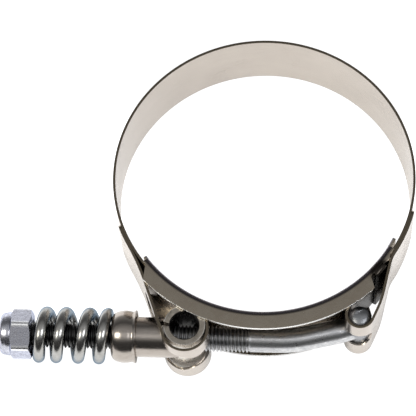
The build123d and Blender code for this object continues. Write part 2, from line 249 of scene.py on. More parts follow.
def worked_metal_group():
    """Grain from rolling or drawing, with soft clouds from handling."""
    group = bpy.data.node_groups.new("worked_metal", "ShaderNodeTree")
    face = group.interface
    for label, kind in (
        ("Light", "NodeSocketColor"),
        ("Dark", "NodeSocketColor"),
        ("Stretch", "NodeSocketVector"),
        ("Clouds", "NodeSocketFloat"),
        ("Smooth", "NodeSocketFloat"),
        ("Rough", "NodeSocketFloat"),
    ):
        face.new_socket(label, in_out="INPUT", socket_type=kind)
    for label, kind in (
        ("Color", "NodeSocketColor"),
        ("Roughness", "NodeSocketFloat"),
        ("Height", "NodeSocketFloat"),
    ):
        face.new_socket(label, in_out="OUTPUT", socket_type=kind)
    grain_share = 0.45
    darkest, lightest = 0.32, 0.68
    nodes, links = group.nodes, group.links
    given = nodes.new("NodeGroupInput")
    result = nodes.new("NodeGroupOutput")
    place = nodes.new("ShaderNodeTexCoord")
    stretch = nodes.new("ShaderNodeVectorMath")
    stretch.operation = "MULTIPLY"
    grain = nodes.new("ShaderNodeTexNoise")
    grain.inputs["Scale"].default_value = 1.0
    grain.inputs["Detail"].default_value = 4.0
    cloud = nodes.new("ShaderNodeTexNoise")
    cloud.inputs["Detail"].default_value = 5.0
    cloud.inputs["Roughness"].default_value = 0.6
    both = nodes.new("ShaderNodeMath")
    both.operation = "MULTIPLY_ADD"
    both.inputs[1].default_value = grain_share
    rest = nodes.new("ShaderNodeMath")
    rest.operation = "MULTIPLY"
    rest.inputs[1].default_value = 1 - grain_share
    spread = nodes.new("ShaderNodeMapRange")
    spread.inputs["From Min"].default_value = darkest
    spread.inputs["From Max"].default_value = lightest
    tint = nodes.new("ShaderNodeMix")
    tint.data_type = "RGBA"
    gloss = nodes.new("ShaderNodeMapRange")
    links.new(place.outputs["Object"], stretch.inputs[0])
    links.new(given.outputs["Stretch"], stretch.inputs[1])
    links.new(stretch.outputs[0], grain.inputs["Vector"])
    links.new(place.outputs["Object"], cloud.inputs["Vector"])
    links.new(given.outputs["Clouds"], cloud.inputs["Scale"])
    links.new(cloud.outputs["Fac"], rest.inputs[0])
    links.new(grain.outputs["Fac"], both.inputs[0])
    links.new(rest.outputs[0], both.inputs[2])
    links.new(both.outputs[0], spread.inputs["Value"])
    links.new(spread.outputs[0], tint.inputs["Factor"])
    links.new(given.outputs["Dark"], tint.inputs["A"])
    links.new(given.outputs["Light"], tint.inputs["B"])
    links.new(spread.outputs[0], gloss.inputs["Value"])
    links.new(given.outputs["Rough"], gloss.inputs["To Min"])
    links.new(given.outputs["Smooth"], gloss.inputs["To Max"])
    links.new(tint.outputs["Result"], result.inputs["Color"])
    links.new(gloss.outputs[0], result.inputs["Roughness"])
    links.new(grain.outputs["Fac"], result.inputs["Height"])
    return group


worked_metal = worked_metal_group()


def distance_shade_group():
    """A second colour that takes over with distance from a point, a line or a plane."""
    group = bpy.data.node_groups.new("distance_shade", "ShaderNodeTree")
    face = group.interface
    for label, kind in (
        ("Color", "NodeSocketColor"),
        ("Other", "NodeSocketColor"),
        ("Centre", "NodeSocketVector"),
        ("Across", "NodeSocketVector"),
        ("Start", "NodeSocketFloat"),
        ("End", "NodeSocketFloat"),
        ("Low", "NodeSocketVector"),
        ("High", "NodeSocketVector"),
    ):
        face.new_socket(label, in_out="INPUT", socket_type=kind)
    face.new_socket("Color", in_out="OUTPUT", socket_type="NodeSocketColor")
    nodes, links = group.nodes, group.links
    given = nodes.new("NodeGroupInput")
    result = nodes.new("NodeGroupOutput")
    place = nodes.new("ShaderNodeTexCoord")
    offset = nodes.new("ShaderNodeVectorMath")
    offset.operation = "SUBTRACT"
    kept = nodes.new("ShaderNodeVectorMath")
    kept.operation = "MULTIPLY"
    far = nodes.new("ShaderNodeVectorMath")
    far.operation = "LENGTH"
    amount = nodes.new("ShaderNodeMapRange")
    split = nodes.new("ShaderNodeSeparateXYZ")
    height = nodes.new("ShaderNodeMath")
    height.operation = "ABSOLUTE"
    folded = nodes.new("ShaderNodeCombineXYZ")
    below = nodes.new("ShaderNodeVectorMath")
    below.operation = "MINIMUM"
    above = nodes.new("ShaderNodeVectorMath")
    above.operation = "MAXIMUM"
    outside = nodes.new("ShaderNodeVectorMath")
    outside.operation = "DISTANCE"
    within = nodes.new("ShaderNodeMath")
    within.operation = "LESS_THAN"
    within.inputs[1].default_value = 0.001 * MM
    held = nodes.new("ShaderNodeMath")
    held.operation = "MULTIPLY"
    tint = nodes.new("ShaderNodeMix")
    tint.data_type = "RGBA"
    links.new(place.outputs["Object"], split.inputs[0])
    links.new(split.outputs["X"], folded.inputs["X"])
    links.new(split.outputs["Y"], folded.inputs["Y"])
    links.new(split.outputs["Z"], height.inputs[0])
    links.new(height.outputs[0], folded.inputs["Z"])
    links.new(folded.outputs[0], below.inputs[0])
    links.new(given.outputs["High"], below.inputs[1])
    links.new(below.outputs[0], above.inputs[0])
    links.new(given.outputs["Low"], above.inputs[1])
    links.new(above.outputs[0], outside.inputs[0])
    links.new(folded.outputs[0], outside.inputs[1])
    links.new(outside.outputs["Value"], within.inputs[0])
    links.new(amount.outputs[0], held.inputs[0])
    links.new(within.outputs[0], held.inputs[1])
    links.new(place.outputs["Object"], offset.inputs[0])
    links.new(given.outputs["Centre"], offset.inputs[1])
    links.new(offset.outputs[0], kept.inputs[0])
    links.new(given.outputs["Across"], kept.inputs[1])
    links.new(kept.outputs[0], far.inputs[0])
    links.new(far.outputs["Value"], amount.inputs["Value"])
    links.new(given.outputs["Start"], amount.inputs["From Min"])
    links.new(given.outputs["End"], amount.inputs["From Max"])
    links.new(held.outputs[0], tint.inputs["Factor"])
    links.new(given.outputs["Color"], tint.inputs["A"])
    links.new(given.outputs["Other"], tint.inputs["B"])
    links.new(tint.outputs["Result"], result.inputs["Color"])
    return group


distance_shade = distance_shade_group()
far_out = 1000


def shade_with_distance(
    material, colour, centre, across, start, end, low=(-far_out,) * 3, high=(far_out,) * 3
):
    """Brings a second colour into a metal from one distance to another, in millimetres.

    It is kept between two corners of a box, where a height counts on both sides of the middle."""
    nodes, links = material.node_tree.nodes, material.node_tree.links
    shader = nodes["Principled BSDF"]
    source = shader.inputs["Base Color"].links[0].from_socket
    step = nodes.new("ShaderNodeGroup")
    step.node_tree = distance_shade
    step.inputs["Other"].default_value = (*colour, 1)
    step.inputs["Centre"].default_value = Vector(centre) * MM
    step.inputs["Across"].default_value = across
    step.inputs["Start"].default_value = start * MM
    step.inputs["End"].default_value = end * MM
    step.inputs["Low"].default_value = Vector(low) * MM
    step.inputs["High"].default_value = Vector(high) * MM
    links.new(source, step.inputs["Color"])
    links.new(step.outputs["Color"], shader.inputs["Base Color"])


def finish(name, light, dark, stretch, clouds, smooth, rough, relief, rim=(1, 1, 1), metallic=1.0):
    """Material of one worked surface; stretch is the grain's fineness along X, Y and Z."""
    material = bpy.data.materials.new(name)
    material.use_nodes = True
    nodes, links = material.node_tree.nodes, material.node_tree.links
    shader = nodes["Principled BSDF"]
    shader.inputs["Metallic"].default_value = metallic
    shader.inputs["Specular Tint"].default_value = (*rim, 1)
    look = nodes.new("ShaderNodeGroup")
    look.node_tree = worked_metal
    look.inputs["Light"].default_value = (*light, 1)
    look.inputs["Dark"].default_value = (*dark, 1)
    look.inputs["Stretch"].default_value = stretch
    look.inputs["Clouds"].default_value = clouds
    look.inputs["Smooth"].default_value = smooth
    look.inputs["Rough"].default_value = rough
    bump = nodes.new("ShaderNodeBump")
    bump.inputs["Strength"].default_value = relief
    bump.inputs["Distance"].default_value = 0.02 * MM
    links.new(look.outputs["Color"], shader.inputs["Base Color"])
    links.new(look.outputs["Roughness"], shader.inputs["Roughness"])
    links.new(look.outputs["Height"], bump.inputs["Height"])
    links.new(bump.outputs["Normal"], shader.inputs["Normal"])
    return material


def place_piece(name, bm, material, body, node):
    """Turns a mesh drawn in millimetres into a finished piece on the frame."""
    hard_edge = radians(35)
    bmesh.ops.scale(bm, verts=bm.verts, vec=(MM, MM, MM))
    for face in bm.faces:
        face.smooth = True
    for edge in bm.edges:
        edge.smooth = edge.calc_face_angle(0) < hard_edge
    mesh = bpy.data.meshes.new(name)
    bm.to_mesh(mesh)
    bm.free()
    mesh.materials.append(material)
    piece = bpy.data.objects.new(name, mesh)
    scene.collection.objects.link(piece)
    even = piece.modifiers.new("even_shading", "WEIGHTED_NORMAL")
    even.keep_sharp = True
    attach(piece, body)
    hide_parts(node)
    return piece


def bend_along(bm, edges, path, spacing, extra=()):
    """Feeds a row of edges along runs and arcs; returns each row's distance and vertices.

    A run is ("run", shift), and an arc is ("arc", centre, axis, radius, degrees)."""
    closest = 0.02
    widest_turn = radians(6)
    rows = [(0.0, sorted({v for e in edges for v in e.verts}, key=lambda v: v.co.z))]
    front = list(edges) + rows[0][1]
    done = 0.0
    for step in path:
        if step[0] == "run":
            length = Vector(step[1]).length
            gap = spacing * 2
        else:
            length = step[3] * radians(abs(step[4]))
            gap = min(spacing, step[3] * widest_turn)
        count = max(1, round(length / gap))
        marks = {done + length * k / count for k in range(1, count + 1)}
        marks |= {mark for mark in extra if done + closest < mark < done + length - closest}
        last = done
        for mark in sorted(marks):
            part = (mark - last) / length
            if step[0] == "run":
                shift = Vector(step[1]) * part
                made = bmesh.ops.spin(
                    bm, geom=front, cent=(0, 0, 0), axis=(0, 0, 1), dvec=shift, angle=0, steps=1
                )
            else:
                made = bmesh.ops.spin(
                    bm,
                    geom=front,
                    cent=step[1],
                    axis=step[2],
                    dvec=(0, 0, 0),
                    angle=radians(step[4]) * part,
                    steps=1,
                )
            front = made["geom_last"]
            verts = [v for v in front if isinstance(v, bmesh.types.BMVert)]
            rows.append((mark, sorted(verts, key=lambda v: v.co.z)))
            last = mark
        done += length
    return rows


merge_within = 0.002


def thicken(bm, gauge, edge_radius, outward):
    """Gives a bent sheet its thickness behind the face drawn, and breaks its cut edges."""
    cut_edge = radians(55)
    bmesh.ops.remove_doubles(bm, verts=bm.verts, dist=merge_within)
    bmesh.ops.recalc_face_normals(bm, faces=bm.faces)
    bm.faces.ensure_lookup_table()
    if bm.faces[0].normal.dot(outward) < 0:
        bmesh.ops.reverse_faces(bm, faces=bm.faces)
    bmesh.ops.solidify(bm, geom=bm.faces, thickness=gauge)
    bmesh.ops.recalc_face_normals(bm, faces=bm.faces)
    sharp = [e for e in bm.edges if e.calc_face_angle(0) > cut_edge]
    bmesh.ops.bevel(
        bm,
        geom=sharp,
        affect="EDGES",
        offset=edge_radius,
        segments=2,
        profile=0.5,
        material=-1,
        clamp_overlap=True,
    )


def cut_slots(bm, rows, half_width):
    """Opens the middle of the strip wherever half_width gives a figure, rounded at the ends."""
    open_rows = []
    for mark, row in rows:
        half = half_width(mark, row)
        open_rows.append(half is not None)
        if half is not None:
            row[1].co.z = -half
            row[2].co.z = half
    doomed = []
    for k in range(len(rows) - 1):
        if open_rows[k] and open_rows[k + 1]:
            ends = {rows[k][1][1], rows[k][1][2], rows[k + 1][1][1], rows[k + 1][1][2]}
            doomed += [f for f in rows[k][1][1].link_faces if set(f.verts) == ends]
    bmesh.ops.delete(bm, geom=doomed, context="FACES")


def polar(radius, angle, z=0.0):
    """Point at a radius and an angle in degrees round the Z axis."""
    return Vector((radius * cos(radians(angle)), radius * sin(radians(angle)), z))


strip_width = 19.05
strip_gauge = 0.635
ring_middle, lap_middle = 37.018, 37.683
left_loop, right_loop = 5.468, 3.237
barrel_x, bolt_y = -17.95, -39.4
head = Vector((24.13, -35.45, 0))
upright = (0, 0, 1)
ring_bend = ((0, 0, 0), upright)
band_path = (
    ("arc", *ring_bend, lap_middle, 9.3),
    ("arc", (-84.166, -49.578, 0), upright, 60.0, -10.268),
    ("run", (4.888, -13.262, 0)),
    ("arc", (-17.85, -40.2, 0), upright, left_loop, 166.894),
    ("run", (-0.1, 0.8, 0)),
    ("arc", (barrel_x, bolt_y, 0), upright, left_loop, 47.273),
    ("run", (-6.783, 4.856, 0)),
    ("arc", *ring_bend, ring_middle, -269.993),
    ("run", (-8.604, -12.020, 0)),
    ("arc", head, upright, right_loop, 192.595),
    ("run", (1.217, 2.868, 0)),
    ("arc", (5.315, -24.079, 0), upright, 25.0, 11.5),
    ("run", (1.423, 6.993, 0)),
    ("arc", (39.075, -23.665, 0), upright, 8.0, -19.7),
    ("arc", *ring_bend, lap_middle, 19.1),
)


def path_length(path, steps):
    """Distance to the end of so many steps of a path."""
    total = 0.0
    for step in path[:steps]:
        total += Vector(step[1]).length if step[0] == "run" else step[3] * radians(abs(step[4]))
    return total


sleeve_slot = 5.1
bolt_slot = 3.6
head_slot = 3.5
sleeve_slot_lead, head_slot_lead = 0.92, 2.6
arc_from, bottom_turn, head_slot_turn = 7.125, 60, 188
past_bolt = asin(bolt_slot / left_loop) - radians(arc_from)
sleeve_slot_start = path_length(band_path, 2) - sleeve_slot_lead
sleeve_slot_end = path_length(band_path, 5) + left_loop * past_bolt
head_slot_start = path_length(band_path, 9) - head_slot_lead
head_slot_end = path_length(band_path, 9) + right_loop * radians(head_slot_turn)
loop_bottom = path_length(band_path, 3) + left_loop * radians(bottom_turn)
slot_narrowing = 3.0


def band_slot(mark, row):
    """Half-width of the band's slots at a distance along the strip."""
    near = 0.003
    if sleeve_slot_start - near <= mark <= sleeve_slot_end + near:
        into = mark - sleeve_slot_start
        wide = sqrt(max(0, sleeve_slot**2 - (sleeve_slot - min(into, sleeve_slot)) ** 2))
        narrowing = min(1, max(0, (mark - loop_bottom) / slot_narrowing))
        wide = wide + (bolt_slot - wide) * narrowing
        above = row[0].co.y - bolt_y
        if mark > loop_bottom + slot_narrowing and above > 0:
            wide = sqrt(max(0, bolt_slot**2 - above**2))
        return wide if mark < sleeve_slot_end - near else 0.0
    if head_slot_start - near <= mark <= head_slot_end + near:
        into = min(mark - head_slot_start, head_slot_end - mark, head_slot)
        return sqrt(max(0, head_slot**2 - (head_slot - max(0, into)) ** 2))
    return None


def slot_marks(start, end, radius):
    """Distances at which rows are needed to round a slot's two ends."""
    steps = [radius * (1 - cos(radians(15 * k))) for k in range(7)]
    return [start + step for step in steps] + [end - step for step in steps]


strip = bmesh.new()
lap_from = radians(-158.8)
lap_x, lap_y = cos(lap_from), sin(lap_from)
outset = lap_middle + strip_gauge / 2
row_spacing = 1.4
corner_cut, edge_break = 1.2, 0.11
across = [
    strip.verts.new((lap_x * outset, lap_y * outset, z))
    for z in (-strip_width / 2, -head_slot, head_slot, strip_width / 2)
]
first_edges = [strip.edges.new(pair) for pair in zip(across, across[1:])]
rows = bend_along(
    strip,
    first_edges,
    band_path,
    row_spacing,
    slot_marks(sleeve_slot_start, sleeve_slot_end, sleeve_slot)
    + slot_marks(head_slot_start, head_slot_end, head_slot)
    + [sleeve_slot_end - 0.02 * k * k for k in range(1, 9)],
)
cut_slots(strip, rows, band_slot)
end_corners = [rows[0][1][0], rows[0][1][3], rows[-1][1][0], rows[-1][1][3]]
bmesh.ops.remove_doubles(strip, verts=strip.verts, dist=merge_within)
bmesh.ops.bevel(
    strip,
    geom=[v for v in end_corners if v.is_valid],
    affect="VERTICES",
    offset=corner_cut,
    segments=4,
    profile=0.5,
    material=-1,
)
thicken(strip, strip_gauge, edge_break, Vector((lap_x, lap_y, 0)))
strip_steel = finish(
    "bright_strip", (0.53, 0.48, 0.43), (0.47, 0.42, 0.375), (60, 60, 9000), 90, 0.18, 0.30, 0.2
)
# Painted shade on the strip: dark along its cut edges, and near black in the pocket round the right
# loop's inner leg. The weld spots are the welds' own darker colour.
strip_edge_painted_shade, pocket_painted_shade, weld_shade = (0.19, 0.16, 0.12), (0.04, 0.035, 0.03), (0.34, 0.29, 0.24)
leg_pocket = (22.5, -25.5, 0)
weld_radius, weld_angles, weld_heights = 38.0, (-154.15, -21.65), (-4.5, 4.5)
# Painted shade along the strip's top and bottom cut edges.
shade_with_distance(strip_steel, strip_edge_painted_shade, (0, 0, 0), (0, 0, 1), 9.38, 9.46)
# Painted shade in the pocket round the right loop's inner leg.
shade_with_distance(strip_steel, pocket_painted_shade, leg_pocket, (1, 1, 0), 7.2, 6.2)
for angle in weld_angles:
    for height in weld_heights:
        spot = polar(weld_radius, angle, height)
        shade_with_distance(strip_steel, weld_shade, spot, (1, 1, 1), 1.55, 1.25)
place_piece("band_strip", strip, strip_steel, "band_body", "band")

# Bridge.
# A channel pressed from satin stainless sheet, curved to close the gap in the ring under the bolt.
# Two tabs fold from its right-hand flanges over the band's inner leg and lock it there.


def cut_radius(angle, start, end):
    """Radius at which a ray at this angle crosses the straight cut from start to end."""
    ray = polar(1, angle)
    along = end - start
    bottom = ray.x * along.y - ray.y * along.x
    return (start.x * along.y - start.y * along.x) / bottom if abs(bottom) > 1e-9 else 1e9


flange_out, flange_least = 40.1, 37.15
web_start, left_cut_to, web_end = -140.6, -134.2, -30.2
notch_side_to, notch_round_to, notch_foot_to, notch_floor_to = -44.78, -42.95, -41.9, -34.2
left_cut = (polar(36.1, web_start), polar(40.9, left_cut_to))
right_cut = (polar(36.1, web_end), polar(40.9, -41.5))
notch_floor = (polar(36.9, notch_foot_to), polar(37.8, notch_floor_to))
notch_foot = (polar(37.0, -44.2), polar(36.9, notch_foot_to))
notch_side = (polar(42.1, -47.9), polar(37.0, -44.2))
notch_from = -48
notch_centre, notch_corner = Vector((28.198, -26.118, 0)), 1.5


def flange_radius(angle):
    """Outer radius of the bridge's flanges, with their slanted ends and the tabs' notch."""
    limit = flange_out
    if angle < left_cut_to + 0.2:
        limit = cut_radius(angle, *left_cut)
    elif angle > notch_floor_to:
        limit = cut_radius(angle, *right_cut)
    elif angle > notch_foot_to:
        limit = cut_radius(angle, *notch_floor)
    elif angle > notch_round_to:
        limit = cut_radius(angle, *notch_foot)
    elif angle > notch_side_to:
        towards = polar(1, angle).dot(notch_centre)
        limit = towards - sqrt(towards**2 - notch_centre.length_squared + notch_corner**2)
    elif angle > notch_from:
        limit = cut_radius(angle, *notch_side)
    return max(flange_least, min(flange_out, limit))


half = 10.45
sheet = 0.8
web_in = 35.3
web_out = web_in + sheet
corner = 1.7
inside = corner - sheet
bend_r, bend_z = web_in + corner, -half + corner
lower = [(web_out, bend_z)]
lower += [
    (bend_r - inside * cos(radians(30 * k)), bend_z - inside * sin(radians(30 * k)))
    for k in (1, 2, 3)
]
tip = 0.05
facet = tip * 0.3
lower += [(flange_out - tip, -half + sheet), (flange_out - facet, -half + sheet - facet)]
lower += [(flange_out, -half + sheet - tip), (flange_out, -half + tip)]
lower += [(flange_out - facet, -half + facet), (flange_out - tip, -half)]
lower += [
    (bend_r - corner * sin(radians(15 * k)), bend_z - corner * cos(radians(15 * k)))
    for k in range(7)
]
upper = [(r, -z) for r, z in reversed(lower)]
channel = bmesh.new()
loop = [channel.verts.new((r, 0, z)) for r, z in lower + upper]
ring_edges = [channel.edges.new((a, b)) for a, b in zip(loop, loop[1:] + loop[:1])]
bmesh.ops.rotate(
    channel, verts=loop, cent=(0, 0, 0), matrix=Matrix.Rotation(radians(web_start), 3, "Z")
)
turns = [web_start]
for last, count in (
    (left_cut_to, 8), (-46.45, 46), (notch_side_to, 6), (notch_round_to, 7), (notch_foot_to, 2),
    (notch_floor_to, 12), (web_end, 8),
):
    turns += [turns[-1] + (last - turns[-1]) * k / count for k in range(1, count + 1)]
front = loop + ring_edges
before = web_start
for angle in turns[1:]:
    made = bmesh.ops.spin(
        channel,
        geom=front,
        cent=(0, 0, 0),
        axis=(0, 0, 1),
        dvec=(0, 0, 0),
        angle=radians(angle - before),
        steps=1,
    )
    front = made["geom_last"]
    before = angle
end_loop = [v for v in front if isinstance(v, bmesh.types.BMVert)]


def close_end(bm, verts, inward, outward, turn, steps):
    """Closes one end of the channel, and carries the web on from it as a tongue."""
    ordered = sorted(verts, key=lambda v: (v.co.z, v.co.xy.length))
    inner = sorted(
        (v for v in verts if abs(v.co.xy.length - inward) < 0.001), key=lambda v: v.co.z
    )
    outer = sorted(
        (v for v in verts if abs(v.co.xy.length - outward) < 0.001), key=lambda v: v.co.z
    )
    web = [inner[0], inner[-1], outer[-1], outer[0]]
    bm.edges.new((inner[0], outer[0]))
    bm.edges.new((inner[-1], outer[-1]))
    quad = bm.faces.new(web)
    for side in (-1, 1):
        picked = [v for v in ordered if v.co.z * side > 0]
        edges = [e for v in picked for e in v.link_edges if all(w in picked for w in e.verts)]
        edges = list({e for e in edges if len(e.link_faces) < 2})
        bmesh.ops.contextual_create(bm, geom=picked + edges)
    bmesh.ops.spin(
        bm,
        geom=[quad] + list(quad.edges) + list(quad.verts),
        cent=(0, 0, 0),
        axis=(0, 0, 1),
        dvec=(0, 0, 0),
        angle=radians(turn),
        steps=steps,
    )


for v in channel.verts:
    radius = v.co.xy.length
    if radius > flange_out - 0.2:
        angle = degrees(atan2(v.co.y, v.co.x))
        v.co.xy *= (radius + flange_radius(angle) - flange_out) / radius
left_tongue, right_tongue = -2.0, 4.7
close_end(channel, loop, web_in, web_out, left_tongue, 2)
close_end(channel, end_loop, web_in, web_out, right_tongue, 4)
bmesh.ops.recalc_face_normals(channel, faces=channel.faces)
leg_turn, leg_outside, leg_clearance = -35.6, 37.336, 0.12
tab_root, tab_sides, tab_bend, tab_gap = 36.8, (1.1, 4.6), 1.0, 0.3
tab_edge_break, channel_edge_break = 0.12, 0.1
for side in (1, -1):
    flap = bmesh.new()
    normal, along = polar(1, leg_turn), polar(1, leg_turn - 90)
    face_at = leg_outside + leg_clearance + sheet
    top = Vector((0, 0, side * half))
    start = normal * tab_root + top
    ends = [flap.verts.new(start + along * s) for s in tab_sides]
    edge = flap.edges.new(ends)
    bend_centre = normal * (face_at - tab_bend) + top * (1 - tab_bend / half)
    steps = (
        ("run", normal * (face_at - tab_bend - tab_root)),
        ("arc", bend_centre, along, tab_bend, -90 * side),
        ("run", (0, 0, -side * (half - tab_bend - tab_gap))),
    )
    bend_along(flap, [edge], steps, tab_gap)
    thicken(flap, sheet, tab_edge_break, top)
    flap_mesh = bpy.data.meshes.new("tab")
    flap.to_mesh(flap_mesh)
    flap.free()
    channel.from_mesh(flap_mesh)
    bpy.data.meshes.remove(flap_mesh)
sharp = [e for e in channel.edges if e.calc_face_angle(0) > radians(60)]
bmesh.ops.bevel(
    channel,
    geom=sharp,
    affect="EDGES",
    offset=channel_edge_break,
    segments=2,
    profile=0.5,
    material=-1,
    clamp_overlap=True,
)
pressing_steel = finish(
    "satin_pressing", (0.46, 0.41, 0.34), (0.36, 0.31, 0.25), (900, 900, 900), 160, 0.2, 0.34, 0.35
)
# Painted light on the channel: painted shade along its bends, a pale painted highlight at the web's
# rims, bright painted highlights on the flanges' cut edges, and painted shade in the tabs' pocket.
bend_painted_shade, rim_painted_highlight, flange_edge_painted_highlight = (0.10, 0.09, 0.10), (0.70, 0.68, 0.78), (0.95, 0.94, 0.92)
tab_pocket = (29.5, -24.8, 0)
# Painted shade: a dark reflection painted along the bends.
shade_with_distance(pressing_steel, bend_painted_shade, (0, 0, 0), (1, 1, 0), 36.85, 36.45,
                    low=(-far_out, -far_out, 8.9))
# Painted highlight: a pale lilac line painted at the web's rims.
shade_with_distance(pressing_steel, rim_painted_highlight, (0, 0, 0), (1, 1, 0), 35.60, 35.45,
                    low=(-far_out, -far_out, 8.6))
# Painted highlight: the flanges' cut edges painted bright.
shade_with_distance(pressing_steel, flange_edge_painted_highlight, (0, 0, 0), (1, 1, 0), 39.98, 40.05)
# Painted shade in the pocket under the tabs.
shade_with_distance(pressing_steel, pocket_painted_shade, tab_pocket, (1, 1, 0), 3.6, 2.6)
place_piece("bridge_channel", channel, pressing_steel, "band_body", "bridge")

# Trunnion barrel.
# Thick sheet, drilled across for the bolt and then rolled into a barrel that turns in the left
# loop, with its seam open towards the sleeve.

barrel_centre = (barrel_x, bolt_y, 0)
barrel_half = 9.45
barrel_middle = 4.275
barrel_wall = 1.45
seam = 184.0
flat_from = 158.0
rolled = 360 + flat_from - seam
lip = 1.0
barrel_path = (
    ("arc", barrel_centre, upright, barrel_middle, rolled),
    ("run", polar(lip, flat_from + 90)),
)
drill = 3.55
barrel_spacing, barrel_edge_break = 0.5, 0.14


def barrel_hole(mark, row):
    """Half-height of the drilled holes at a distance along the rolled sheet."""
    aside = row[0].co.y - bolt_y
    return sqrt(drill**2 - aside**2) if abs(aside) < drill else None


roll_of_sheet = bmesh.new()
start = Vector(barrel_centre) + polar(barrel_middle + barrel_wall / 2, seam)
across = [
    roll_of_sheet.verts.new(start + Vector((0, 0, z)))
    for z in (-barrel_half, -drill, drill, barrel_half)
]
first_edges = [roll_of_sheet.edges.new(pair) for pair in zip(across, across[1:])]
hole_turn = degrees(asin(drill / (barrel_middle + barrel_wall / 2)))
finer = []
for centre_turn in (360, 540):
    for k in range(7):
        for way in (-1, 1):
            turn = centre_turn + way * hole_turn * sin(radians(15 * k)) - seam
            finer.append(barrel_middle * radians(turn))
rows = bend_along(roll_of_sheet, first_edges, barrel_path, barrel_spacing, finer)
cut_slots(roll_of_sheet, rows, barrel_hole)
thicken(roll_of_sheet, barrel_wall, barrel_edge_break, polar(1, seam))
barrel_steel = finish(
    "rolled_barrel", (0.60, 0.55, 0.48), (0.30, 0.27, 0.23), (2600, 2600, 900), 600, 0.2, 0.42, 0.8
)
# Painted light on the barrel: a painted highlight on the outer edge of its rims, and painted shade
# inside its bore.
barrel_rim_painted_highlight, barrel_inside_painted_shade = (0.80, 0.77, 0.72), (0.05, 0.045, 0.04)
# Painted highlight: the rims painted pale towards the outside.
shade_with_distance(barrel_steel, barrel_rim_painted_highlight, barrel_centre, (1, 1, 0), 4.78, 4.95)
# Painted shade inside the barrel's bore.
shade_with_distance(barrel_steel, barrel_inside_painted_shade, barrel_centre, (1, 1, 0), 3.74, 3.66)
place_piece(
    "barrel_roll", roll_of_sheet, barrel_steel, "bolt_body", "trunnion_barrel"
)

# Trunnion sleeve.
# A drawn steel tube round the bolt, coped at one end to the barrel, with a bright plated finish.


turned_merge = 0.0005


def turned_piece(profile, steps):
    """Spins a closed outline of (x, radius) points about the bolt's axis."""
    bm = bmesh.new()
    verts = [bm.verts.new((x, bolt_y + r, 0)) for x, r in profile]
    edges = [bm.edges.new((a, b)) for a, b in zip(verts, verts[1:] + verts[:1])]
    bmesh.ops.spin(
        bm,
        geom=verts + edges,
        cent=(0, bolt_y, 0),
        axis=(1, 0, 0),
        dvec=(0, 0, 0),
        angle=2 * pi,
        steps=steps,
        use_merge=True,
    )
    bmesh.ops.remove_doubles(bm, verts=bm.verts, dist=turned_merge)
    bmesh.ops.recalc_face_normals(bm, faces=bm.faces)
    return bm


def rounded(start, end, corner, steps=4):
    """Points of a quarter turn from start to end about the far side of a corner."""
    (ax, ay), (bx, by), (cx, cy) = start, end, corner
    ox, oy = ax + bx - cx, ay + by - cy
    points = []
    for k in range(steps + 1):
        t = radians(90 * k / steps)
        points.append((ox + (ax - ox) * cos(t) + (bx - ox) * sin(t),
                       oy + (ay - oy) * cos(t) + (by - oy) * sin(t)))
    return points


def arc(centre, radius, start, end, steps):
    """Points of an arc, with its start and its end in degrees."""
    turns = [radians(start + (end - start) * k / steps) for k in range(steps + 1)]
    return [(centre[0] + radius * cos(t), centre[1] + radius * sin(t)) for t in turns]


sleeve_radius = 4.9
sleeve_start, sleeve_waist, sleeve_end = -35.0, -26.0, -19.0
sleeve_round = 0.5
saddle = 5.12
outline = rounded((sleeve_start, sleeve_radius - sleeve_round),
                  (sleeve_start + sleeve_round, sleeve_radius), (sleeve_start, sleeve_radius))
outline += [(sleeve_waist, sleeve_radius), (sleeve_end, sleeve_radius), (sleeve_end, 3.62)]
outline += [(sleeve_waist, drill), (sleeve_start, drill)]
tube = turned_piece(outline, 72)
for v in tube.verts:
    if v.co.x > sleeve_end - 1:
        v.co.x = barrel_x - sqrt(saddle**2 - (v.co.y - bolt_y) ** 2)
sharp = [e for e in tube.edges if e.calc_face_angle(0) > radians(50)]
bmesh.ops.bevel(
    tube, geom=sharp, affect="EDGES", offset=0.08, segments=2, profile=0.5, material=-1
)
nickel = finish(
    "bright_drawn", (0.47, 0.43, 0.39), (0.38, 0.34, 0.31), (700, 2600, 2600), 260, 0.14, 0.26, 0.3
)
place_piece("sleeve_tube", tube, nickel, "bolt_body", "trunnion_sleeve")

# Spring cup.
# A deep-drawn cup over the sleeve's end. Its closed end carries the spring, and its rim flares
# a little.

cup_face, cup_rim = -36.1, -30.05
cup_floor = cup_face + 1.1
cup_corner, cup_corner_radius = (cup_face + 1.75, 4.35), 1.75
cup_wall, cup_wall_bulge = (-32.83, 0.595), 5.8
cup_inside = 5.3
outline = [(cup_face, drill)]
outline += arc(cup_corner, cup_corner_radius, 180, 112, 8)
outline += arc(cup_wall, cup_wall_bulge, 110, 74, 9)
outline += [(-30.9, 6.14), (-30.6, 6.25), (-30.35, 6.42), (cup_rim - 0.12, 6.5)]
outline += [(cup_rim, 6.44), (cup_rim - 0.08, 6.2), (cup_rim - 0.5, 5.5), (-31.2, 5.34)]
outline += [(-32.6, cup_inside)]
outline += rounded((cup_floor + 0.9, cup_inside), (cup_floor, 4.4), (cup_floor, cup_inside))
outline += [(cup_floor, drill)]
cup = turned_piece(outline, 96)
place_piece("cup_drawn", cup, nickel, "bolt_body", "spring_cup")

# Spring.
# Heavy round wire coiled left-handed and ground flat at both ends, with clear zinc plate.
# Its coils are unevenly spaced, as the photograph shows them.

spring_face, spring_stop = -55.5, -36.12
wire = 1.5
coil_radius = 5.45
start_turn, end_turn = 0.12, 4.22
feeds = ((0.0, 0.10), (0.5, 1.75), (1.0, 3.50), (1.5, 6.15), (2.0, 8.25), (2.5, 11.60))
feeds += ((3.0, 14.15), (3.5, 16.60), (4.0, 18.60), (end_turn, 19.30))


